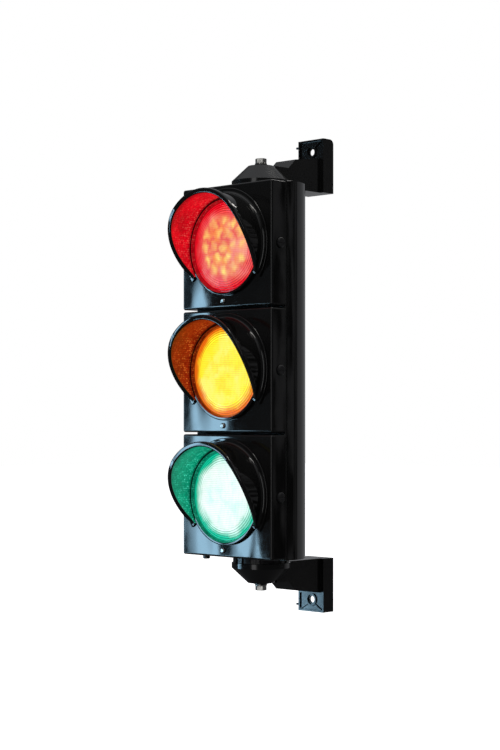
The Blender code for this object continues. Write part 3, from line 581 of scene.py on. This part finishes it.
# --- brackets and bolts -------------------------------------------------------------------------------
def make_bracket(word, side, face):
    """Bracket above (side +1) or below (side -1) the case: hub, arm and box-like wall plate."""
    def level(height):
        return side * (face + height)

    def span(x0, x1, y0, y1, h0, h1):
        z0, z1 = sorted((level(h0), level(h1)))
        return (x0, y0, z0), (x1, y1, z1)

    flip = UPRIGHT if side > 0 else UPSIDE_DOWN
    plate = bmesh.new()
    add_box(plate, *span(-PLATE_HALF, PLATE_HALF, PLATE_Y, WALL_Y, 0, PLATE_HIGH))
    if side > 0:
        bevel_where(plate, lambda a, b: min(a.y, b.y) > WALL_Y - 1 and abs(a.z - b.z) < 1
                    and abs(a.z) > face + 1, 5.0, 8)
    bracket = make(f"{word}_bracket_skin", plate, [MATERIALS["bracket_plastic"]])

    inner, top = PLATE_HALF - PLATE_RIM, PLATE_HIGH - PLATE_RIM
    front, back = PLATE_Y + PLATE_FACE, WALL_Y + 1
    hollow = bmesh.new()
    side_view = [(front, PLATE_HOLLOW_Z), (back, PLATE_HOLLOW_Z), (back, top - 4.2), (WALL_Y - 4.5, top),
                 (front, top)]
    add_prism(hollow, side_view, lambda u, v, w: (w, u, level(v)), -inner, inner)
    add_box(hollow, *span(-inner, inner, PLATE_Y - 1, PLATE_Y + PLATE_DISH, PLATE_HOLLOW_Z, top))
    combine(bracket, hollow, "DIFFERENCE")

    boss_back = PLATE_Y + PLATE_DISH + 1
    added = bmesh.new()
    add_turned(added, [(4.9, PLATE_Y + 0.1), (6.5, PLATE_Y + 0.1), (7.0, boss_back), (4.9, boss_back)],
               (0, 0, level(WALL_HOLE_Z)), TO_BACK, 64)
    for way in (-1, 1):
        foot_x, end_x, half = way * 4.3, way * (inner + PLATE_RIM / 2), 0.8
        outline = [(foot_x - half, WALL_HOLE_Z + 4.3), (foot_x + half, WALL_HOLE_Z + 4.3),
                   (end_x + half / 2, top + PLATE_RIM / 2), (end_x - half, top + PLATE_RIM / 2)]
        add_prism(added, outline, lambda u, v, w: (u, w, level(v)), PLATE_Y + 0.2, boss_back)
    add_turned(added, rod(PEG_R, -PLATE_HALF - PEG_LONG, -PLATE_HALF + 1.0),
               (0, PLATE_Y + 2.5, level(PEG_Z)), TO_RIGHT, 24)
    arm = [(PIVOT_Y + 9, 0), (PLATE_Y + 1, 0), (PLATE_Y + 1, 34.8), (ARM_NOSE_Y + 9, 29.5),
           (ARM_NOSE_Y - 1, HUB_HIGH), (PIVOT_Y + 9, HUB_HIGH)]
    add_prism(added, arm, lambda u, v, w: (w, u, level(v)), -ARM_HALF, ARM_HALF)
    hub = [(0, 0), (HUB_R, 0), (HUB_R, HUB_RIM), (HUB_FLAT_R, HUB_HIGH), (COLLAR_R, HUB_HIGH),
           (COLLAR_R, HUB_HIGH + COLLAR_HIGH), (0, HUB_HIGH + COLLAR_HIGH)]
    add_turned(added, hub, (0, PIVOT_Y, level(0)), flip)
    combine(bracket, added, "UNION")

    holes = bmesh.new()
    add_turned(holes, rod(WALL_HOLE_R, PLATE_Y - 2, WALL_Y + 2), (0, 0, level(WALL_HOLE_Z)), TO_BACK, 48)
    add_turned(holes, rod(PIVOT_BOLT_R + GAP, -2, HUB_HIGH + 4), (0, PIVOT_Y, level(0)), flip, 48)
    combine(bracket, holes, "DIFFERENCE")
    settle(bracket, "wall_mount", [f"{word}_bracket"], 0.45, 3)

    seat = HUB_HIGH + COLLAR_HIGH + GAP
    top_face, inner_r = seat + WASHER_THICK, WASHER_R - WASHER_CHAMFER
    washer = bmesh.new()
    add_turned(washer, [(WASHER_HOLE_R, seat), (inner_r, seat), (WASHER_R, seat + WASHER_CHAMFER),
                        (WASHER_R, top_face - WASHER_CHAMFER), (inner_r, top_face),
                        (WASHER_HOLE_R, top_face)], (0, PIVOT_Y, level(0)), flip, 64)
    ring = make(f"{word}_washer_skin", washer, [MATERIALS["zinc_steel"]])
    settle(ring, "wall_mount", [f"{word}_washer"])

    under = top_face + GAP
    crest = under + BOLT_HEAD_HIGH
    head = bmesh.new()
    add_turned(head, rod(BOLT_HEAD_R, under, crest), (0, PIVOT_Y, level(0)), flip, 6)
    bolt = make(f"{word}_pivot_bolt_skin", head, [MATERIALS["zinc_steel"]])
    crown = bmesh.new()
    add_turned(crown, [(0, under - 1), (7.0, under - 1), (7.0, crest - 1.1), (4.9, crest), (0, crest)],
               (0, PIVOT_Y, level(0)), flip, 64)
    combine(bolt, crown, "INTERSECT")
    shank = bmesh.new()
    add_turned(shank, rod(PIVOT_BOLT_R - 0.05, CASE_HALF - 12.0 - face, under + 1.0),
               (0, PIVOT_Y, level(0)), flip, 48)
    combine(bolt, shank, "UNION")
    settle(bolt, "wall_mount", [f"{word}_pivot_bolt"], 0.15)


# --- rear case ----------------------------------------------------------------------------------------
def case_outline(inset, front):
    """Plan of the case: straight sides, large round rear corners and a flat back."""
    centre = (HALF - CASE_ROUND, CASE_BACK - CASE_ROUND)
    right = arc(centre, CASE_ROUND - inset, 0, 90, 24)
    left = [(-x, y) for x, y in reversed(right)]
    return [(HALF - inset, front)] + right + left + [(inset - HALF, front)]


def make_case():
    """The rear case, with its ribs, knuckles, latch hooks and bosses."""
    def upward(u, v, w):
        return (u, v, w)

    shell = bmesh.new()
    add_prism(shell, case_outline(0, CASE_FRONT), upward, -CASE_HALF, CASE_HALF)
    bevel_where(shell, lambda a, b: abs(a.z - b.z) < 1 and max(a.y, b.y) > CASE_FRONT + 1, 2.0, 5)
    case = make("rear_case_skin", shell, [MATERIALS["case_plastic"]])
    hollow = bmesh.new()
    add_prism(hollow, case_outline(CASE_WALL, CASE_FRONT - 4), upward,
              CASE_WALL - CASE_HALF, CASE_HALF - CASE_WALL)
    combine(case, hollow, "DIFFERENCE")

    added = bmesh.new()
    for middle in (-PITCH / 2, PITCH / 2):
        add_box(added, (-HALF + 1.5, CASE_FRONT, middle - 2.5), (HALF - 1.5, CHASSIS_Y - 1, middle + 2.5))
        add_turned(added, rod(4.0, CHASSIS_Y + 2.3, CASE_BACK - 2), (0, 0, middle), TO_BACK, 32)
    for flip in (UPRIGHT, UPSIDE_DOWN):
        add_turned(added, rod(9.0, CASE_HALF - 10, CASE_HALF - 1.5), (0, PIVOT_Y, 0), flip, 48)
    for index in range(3):
        middle = section_height(index)
        for side in (-1, 1):
            low, high = sorted(middle + side * end for end in CASE_KNUCKLE)
            add_turned(added, rod(KNUCKLE_R, low, high), (*HINGE, 0), UPRIGHT, 32)
            add_box(added, (HINGE[0] - 1.5, CASE_FRONT + 0.7, low + 0.2),
                    (HINGE[0] + 6, CASE_FRONT + 3.2, high - 0.2))
        hook_x, hook_z = (HALF - 6.6, HALF - 3.6), (middle + 15.5, middle + 18.0)
        side_view = [(6.0, middle + 9.0), (6.0, hook_z[1]), (28.0, hook_z[1]), (28.0, hook_z[0]),
                     (8.7, hook_z[0]), (8.7, middle + 9.0)]
        add_prism(added, side_view, lambda u, v, w: (w, u, v), *hook_x)
        add_box(added, (hook_x[0] + 0.4, CASE_FRONT + 1.2, hook_z[0] + 0.2),
                (HALF - 1.5, CASE_FRONT + 6.2, hook_z[1] - 0.2))
    combine(case, added, "UNION")

    holes = bmesh.new()
    add_turned(holes, rod(PIVOT_BOLT_R + 0.5, -CASE_HALF - 5, CASE_HALF + 5), (0, PIVOT_Y, 0), UPRIGHT, 32)
    add_turned(holes, rod(PIN_HOLE_R, -CASE_HALF, CASE_HALF), (*HINGE, 0), UPRIGHT, 32)
    add_turned(holes, rod(8.0, CASE_BACK - 8, CASE_BACK + 4), (0, 0, GLAND_Z), TO_BACK, 48)
    add_turned(holes, rod(2.3, -CASE_HALF - 4, -CASE_HALF + 6), (*DRAIN, 0), UPRIGHT, 32)
    for middle in (-PITCH / 2, PITCH / 2):
        add_turned(holes, rod(1.8, CHASSIS_Y, CHASSIS_Y + 14), (0, 0, middle), TO_BACK, 24)
    for flip in (UPRIGHT, UPSIDE_DOWN):
        add_turned(holes, rod(6.2, CASE_HALF - 12, CASE_HALF - 3.2), (0, PIVOT_Y, 0), flip, 6)
    combine(case, holes, "DIFFERENCE")
    settle(case, "head", ["rear_case"], 0.3)


# --- doors --------------------------------------------------------------------------------------------
def visor_pins():
    """Places of the two pins that hold a visor, from the lens axis."""
    turn = math.radians(VISOR_PIN_TURN)
    return [(way * VISOR_PIN_R * math.sin(turn), VISOR_PIN_R * math.cos(turn)) for way in (-1, 1)]


def make_door(colour, middle):
    """Cap-like door: rounded front, skirt, raised ring and two hinge knuckles."""
    box = bmesh.new()
    add_box(box, (-HALF, 0, middle - DOOR_HALF), (HALF, DOOR_DEPTH, middle + DOOR_HALF))
    bevel_where(box, lambda a, b: min(a.y, b.y) < 1, DOOR_ROUND, 8)
    door = make(f"door_{colour}_skin", box, [MATERIALS["case_plastic"]])
    inside = bmesh.new()
    add_box(inside, (DOOR_WALL - HALF, DOOR_FRONT, middle - DOOR_HALF + DOOR_WALL),
            (HALF - DOOR_WALL, DOOR_DEPTH + 3, middle + DOOR_HALF - DOOR_WALL))
    combine(door, inside, "DIFFERENCE")

    added = bmesh.new()
    round_in = arc((BORE_R + 0.1, 0.9 - RING_HEIGHT), 0.9, 180, 270, 4)
    round_out = arc((RING_R - 1.2, 1.2 - RING_HEIGHT), 1.2, 270, 360, 6)
    add_turned(added, [(BORE_R - 1, 1.0), (BORE_R - 1, 0.9 - RING_HEIGHT)] + round_in[1:] + round_out
               + [(RING_R, 1.0)], (0, 0, middle), TO_BACK)
    for side in (-1, 1):
        low, high = sorted(middle + side * end for end in DOOR_KNUCKLE)
        add_turned(added, rod(KNUCKLE_R, low, high), (*HINGE, 0), UPRIGHT, 32)
        add_box(added, (HINGE[0] - 1.5, DOOR_DEPTH - 3.7, low + 0.2),
                (HINGE[0] + 5.2, DOOR_DEPTH - 0.8, high - 0.2))
    combine(door, added, "UNION")

    holes = bmesh.new()
    add_turned(holes, rod(BORE_R, -8, 8), (0, 0, middle), TO_BACK)
    add_turned(holes, rod(PIN_HOLE_R, middle - 45, middle + 45), (*HINGE, 0), UPRIGHT, 32)
    add_turned(holes, rod(2.8, HALF - 6, HALF + 4), (0, LATCH_Y, middle), TO_RIGHT, 32)
    add_turned(holes, rod(1.6, -2, 6), (LENS_SCREW[0], 0, middle + LENS_SCREW[1]), TO_BACK, 24)
    for x, z in visor_pins():
        add_turned(holes, rod(1.8, -2, 6), (x, 0, middle + z), TO_BACK, 24)
    combine(door, holes, "DIFFERENCE")
    # The ring's faces round the bore carry painted lens light, a painted reflection of the lit lens.
    door.data.materials.append(painted_glow_material(f"ring_{colour}_lit", colour, middle))
    axis = world(0, 0, middle)
    for face in door.data.polygons:
        corners = [door.data.vertices[i].co - axis for i in face.vertices]
        if all(math.hypot(c.x, c.z) < (BORE_R + 1.1) * MM for c in corners):
            face.material_index = 1
    settle(door, f"door_assembly_{colour}", [f"door_{colour}"], 0.3)


def make_lens(colour, middle):
    """Domed lens with prism rings cut round its rim and a flange behind the door's face."""
    sphere = (LENS_R ** 2 + LENS_RISE ** 2) / (2 * LENS_RISE)

    def dome(radius):
        return sphere - LENS_RISE - math.sqrt(sphere ** 2 - radius ** 2)

    profile = [(PRISM_FROM * i / 12, dome(PRISM_FROM * i / 12)) for i in range(13)]
    for i in range(int((LENS_R - PRISM_FROM - 0.5) / PRISM_PITCH)):
        start = PRISM_FROM + PRISM_PITCH * i
        profile += [(start + 0.15, dome(start) + PRISM_GROOVE),
                    (start + PRISM_PITCH * 0.55, dome(start) + PRISM_GROOVE * 0.3),
                    (start + PRISM_PITCH, dome(start + PRISM_PITCH))]
    flange_back = LENS_FLANGE_Y + LENS_FLANGE_THICK
    profile += [(LENS_R, dome(LENS_R) + 0.2), (LENS_R, LENS_FLANGE_Y), (LENS_FLANGE_R, LENS_FLANGE_Y),
                (LENS_FLANGE_R, flange_back), (LENS_BACK_R, flange_back)]
    profile += [(LENS_BACK_R * i / 8, dome(LENS_BACK_R * i / 8) + LENS_THICK) for i in range(8, -1, -1)]
    bm = bmesh.new()
    add_turned(bm, profile, (0, 0, middle), TO_BACK, 128)
    lens = make(f"lens_{colour}_prismatic", bm, [lens_material(colour, middle)])
    settle(lens, f"door_assembly_{colour}", [f"lens_{colour}"])


def visor_length(height):
    """How far the visor reaches forward, at a height above the lens axis."""
    start, fall, power = 36.0, 0.02645, 1.7
    if height > start:
        return VISOR_LONG
    return max(VISOR_SHORT, VISOR_LONG - fall * (start - height) ** power)


def make_visor(colour, middle):
    """Cutaway visor: a flanged tube round the top and sides, its mouth cut back towards the bottom."""
    steps = 144
    bm = bmesh.new()
    rows = []
    for i in range(steps + 1):
        turn = math.radians(VISOR_HALF_TURN * (2 * i / steps - 1))
        reach = visor_length(VISOR_OUT * math.cos(turn))
        spare = reach - VISOR_ROOT
        lip = VISOR_OUT + (VISOR_LIP - VISOR_OUT) * min(1.0, 0.4 + spare / 10)
        bead, slope = min(3.5, 0.35 * spare), min(6.0, 0.7 * spare)
        soft, fillet = min(1.3, 0.9 * bead), min(3.0, reach - 3.5)
        section = [(VISOR_IN, -GAP)]
        section += arc((VISOR_IN + soft, soft - reach), soft, 180, 270, 6)
        section += arc((lip - soft, soft - reach), soft, 270, 360, 6)
        section += [(lip, bead - reach), (VISOR_OUT + (lip - VISOR_OUT) * 0.35, (bead + slope) / 2 - reach),
                    (VISOR_OUT, slope - reach)]
        section += arc((VISOR_OUT + fillet, -2.0 - fillet), fillet, 180, 90, 6)
        section += arc((VISOR_FLANGE - 0.8, -1.2), 0.8, -90, 0, 4)
        section += [(VISOR_FLANGE, -GAP)]
        rows.append([bm.verts.new((r * math.sin(turn), y, middle + r * math.cos(turn))) for r, y in section])
    count = len(rows[0])
    inner_faces = []
    for here, there in zip(rows, rows[1:]):
        for i in range(count):
            j = (i + 1) % count
            face = bm.faces.new((here[i], there[i], there[j], here[j]))
            if i == 0:
                inner_faces.append(face)
    bm.faces.new(rows[0])
    bm.faces.new(rows[-1])
    for x, z in visor_pins():
        add_turned(bm, rod(1.5, -1.2, DOOR_FRONT + 3), (x, 0, middle + z), TO_BACK, 24)
    # The visor's inner wall carries painted lens light, a painted reflection of the lit lens.
    for face in inner_faces:
        face.material_index = 1
    glow = painted_glow_material(f"visor_{colour}_inside", colour, middle)
    visor = make(f"visor_{colour}_skin", bm, [MATERIALS["case_plastic"], glow])
    settle(visor, f"door_assembly_{colour}", [f"visor_{colour}"])


def make_board(colour, middle):
    """Light board: disc, one clear dome on a short round foot for each emitter, and the rear connector."""
    bm = bmesh.new()
    add_turned(bm, rod(BOARD_R, BOARD_Y, BOARD_Y + BOARD_THICK), (0, 0, middle), TO_BACK)
    add_box(bm, (-6, BOARD_Y + 1.5, middle - 23), (6, CHASSIS_Y + 4.5, middle - 17))
    dome_faces = []
    for count, ring in LED_RINGS:
        for i in range(count):
            angle = 2 * math.pi * i / count
            centre = (ring * math.cos(angle), 0, middle + ring * math.sin(angle))
            profile = [(0, BOARD_Y - 2 * LED_BASE)]
            profile += [(r, BOARD_Y - LED_BASE - h) for r, h in arc((0, 0), LED_R, 80, 0, 6)]
            profile += [(LED_R, BOARD_Y - GAP / 3), (0, BOARD_Y - GAP / 3)]
            dome_faces += add_turned(bm, profile, centre, TO_BACK, 16)
    for face in dome_faces:
        face.material_index = 1
    board = make(f"led_board_{colour}_populated", bm, [MATERIALS["circuit_board"], emitter_material(colour)])
    holes = bmesh.new()
    for way in (-1, 1):
        add_turned(holes, rod(1.5, BOARD_Y - 2, BOARD_Y + 1.65), (way * BOARD_FIX_X, 0, middle),
                   TO_BACK, 24)
    combine(board, holes, "DIFFERENCE")
    settle(board, "head", [f"led_board_{colour}"])


# --- studio -------------------------------------------------------------------------------------------
FLOOR_LEVEL = -420.0
FLOOR_REACH = 9000.0
# Each panel: its name, its finish, colour, strength, whether it is streaked, and its corners.
PANELS = (
    ("left_panel", "cool_panel", (0.42, 0.72, 0.95), 13.5, True,
     [(-1235, -1148, 330), (-946, -1148, -600), (-1900, -1148, -600), (-1900, -1148, 330)]),
    ("overhead_strip", "strip_panel", (1.0, 0.97, 0.92), 7.0, False,
     [(1290, -3500, 4500), (1870, -3500, 4500), (430, 5100, 4500), (-156, 5100, 4500)]),
    ("rear_panel", "rear_panel", (0.95, 0.96, 1.0), 0.28, False,
     [(1300, 2500, -1500), (-2700, 2500, -1500), (-2700, 2500, 2500), (1300, 2500, 2500)]),
    ("side_panel", "side_panel", (0.97, 0.97, 1.0), 0.16, True,
     [(3600, 2500, -1500), (1310, 2500, -1500), (1310, 2500, 2500), (3600, 2500, 2500)]),
    ("front_panel", "front_panel", (1.0, 1.0, 1.0), 1.4, False,
     [(330, -2510, -900), (1070, -2290, -900), (1070, -2290, 1000), (330, -2510, 1000)]),
)


def emission_material(name, colour, strength, streaks):
    """Plain light panel; streaks breaks it up as a folded soft box would."""
    material, tree, shader = new_material(name)
    shader.inputs["Base Color"].default_value = (0, 0, 0, 1)
    shader.inputs["Emission Color"].default_value = (*colour, 1.0)
    shader.inputs["Emission Strength"].default_value = strength
    if streaks:
        folds = remap(tree, noise(tree, 15.0, 1.0, (1.3, 1.0, 0.28)), 0.44, 0.56, 0.02, 1.0)
        tree.links.new(calc(tree, "MULTIPLY", folds, strength), shader.inputs["Emission Strength"])
    return material


def make_panel(name, corners, material):
    """A flat light panel that shows only in reflections and as light."""
    mesh = bpy.data.meshes.new(name)
    mesh.from_pydata([world(*c) for c in corners], [], [tuple(range(len(corners)))])
    panel = bpy.data.objects.new(name, mesh)
    bpy.context.scene.collection.objects.link(panel)
    panel.data.materials.append(material)
    panel.visible_camera = False


def make_studio():
    """Pale floor, a room that is white to the eye and dim in reflections, and the light panels."""
    bpy.context.scene.view_settings.view_transform = "Standard"
    backdrop = bpy.data.worlds.new("studio")
    backdrop.use_nodes = True
    bpy.context.scene.world = backdrop
    tree = backdrop.node_tree
    sky = tree.nodes["Background"]
    ray = tree.nodes.new("ShaderNodeLightPath")
    heading = tree.nodes.new("ShaderNodeSeparateXYZ")
    tree.links.new(tree.nodes.new("ShaderNodeTexCoord").outputs["Generated"], heading.inputs[0])
    overhead = remap(tree, heading.outputs["Z"], 0.45, 1.0, 0.0, 1.0)
    room = mix(tree, overhead, (0.055, 0.056, 0.058), (0.55, 0.56, 0.58))
    tree.links.new(mix(tree, ray.outputs["Is Camera Ray"], room, (1.0, 1.0, 1.0)), sky.inputs["Color"])

    material, _, shader = new_material("pale_floor")
    shader.inputs["Base Color"].default_value = (0.9, 0.9, 0.9, 1)
    shader.inputs["Roughness"].default_value = 0.9
    shader.inputs["Emission Color"].default_value = (1, 1, 1, 1)
    shader.inputs["Emission Strength"].default_value = 0.97
    mesh = bpy.data.meshes.new("floor")
    corners = [(-FLOOR_REACH, -FLOOR_REACH), (FLOOR_REACH, -FLOOR_REACH), (FLOOR_REACH, FLOOR_REACH),
               (-FLOOR_REACH, FLOOR_REACH)]
    mesh.from_pydata([world(x, y, FLOOR_LEVEL) for x, y in corners], [], [(0, 1, 2, 3)])
    floor = bpy.data.objects.new("floor", mesh)
    bpy.context.scene.collection.objects.link(floor)
    floor.data.materials.append(material)
    floor.visible_glossy = False
    floor.visible_diffuse = False

    for name, finish, colour, strength, streaks, corners in PANELS:
        make_panel(name, corners, emission_material(finish, colour, strength, streaks))


# --- everything together ------------------------------------------------------------------------------
make_camera()
make_studio()
make_bracket("upper", 1, TOP_FACE)
make_bracket("lower", -1, BOTTOM_FACE)
make_case()
for index, colour in enumerate(COLOURS):
    middle = section_height(index)
    make_door(colour, middle)
    make_lens(colour, middle)
    make_visor(colour, middle)
    make_board(colour, middle)

slots = {entry["node"]: entry["material_slot"] for entry in frame["record"]["subparts"]}
for name, cad in frame["nodes"].items():
    if slots[name] in MATERIALS:
        cad.data.materials.clear()
        cad.data.materials.append(MATERIALS[slots[name]])
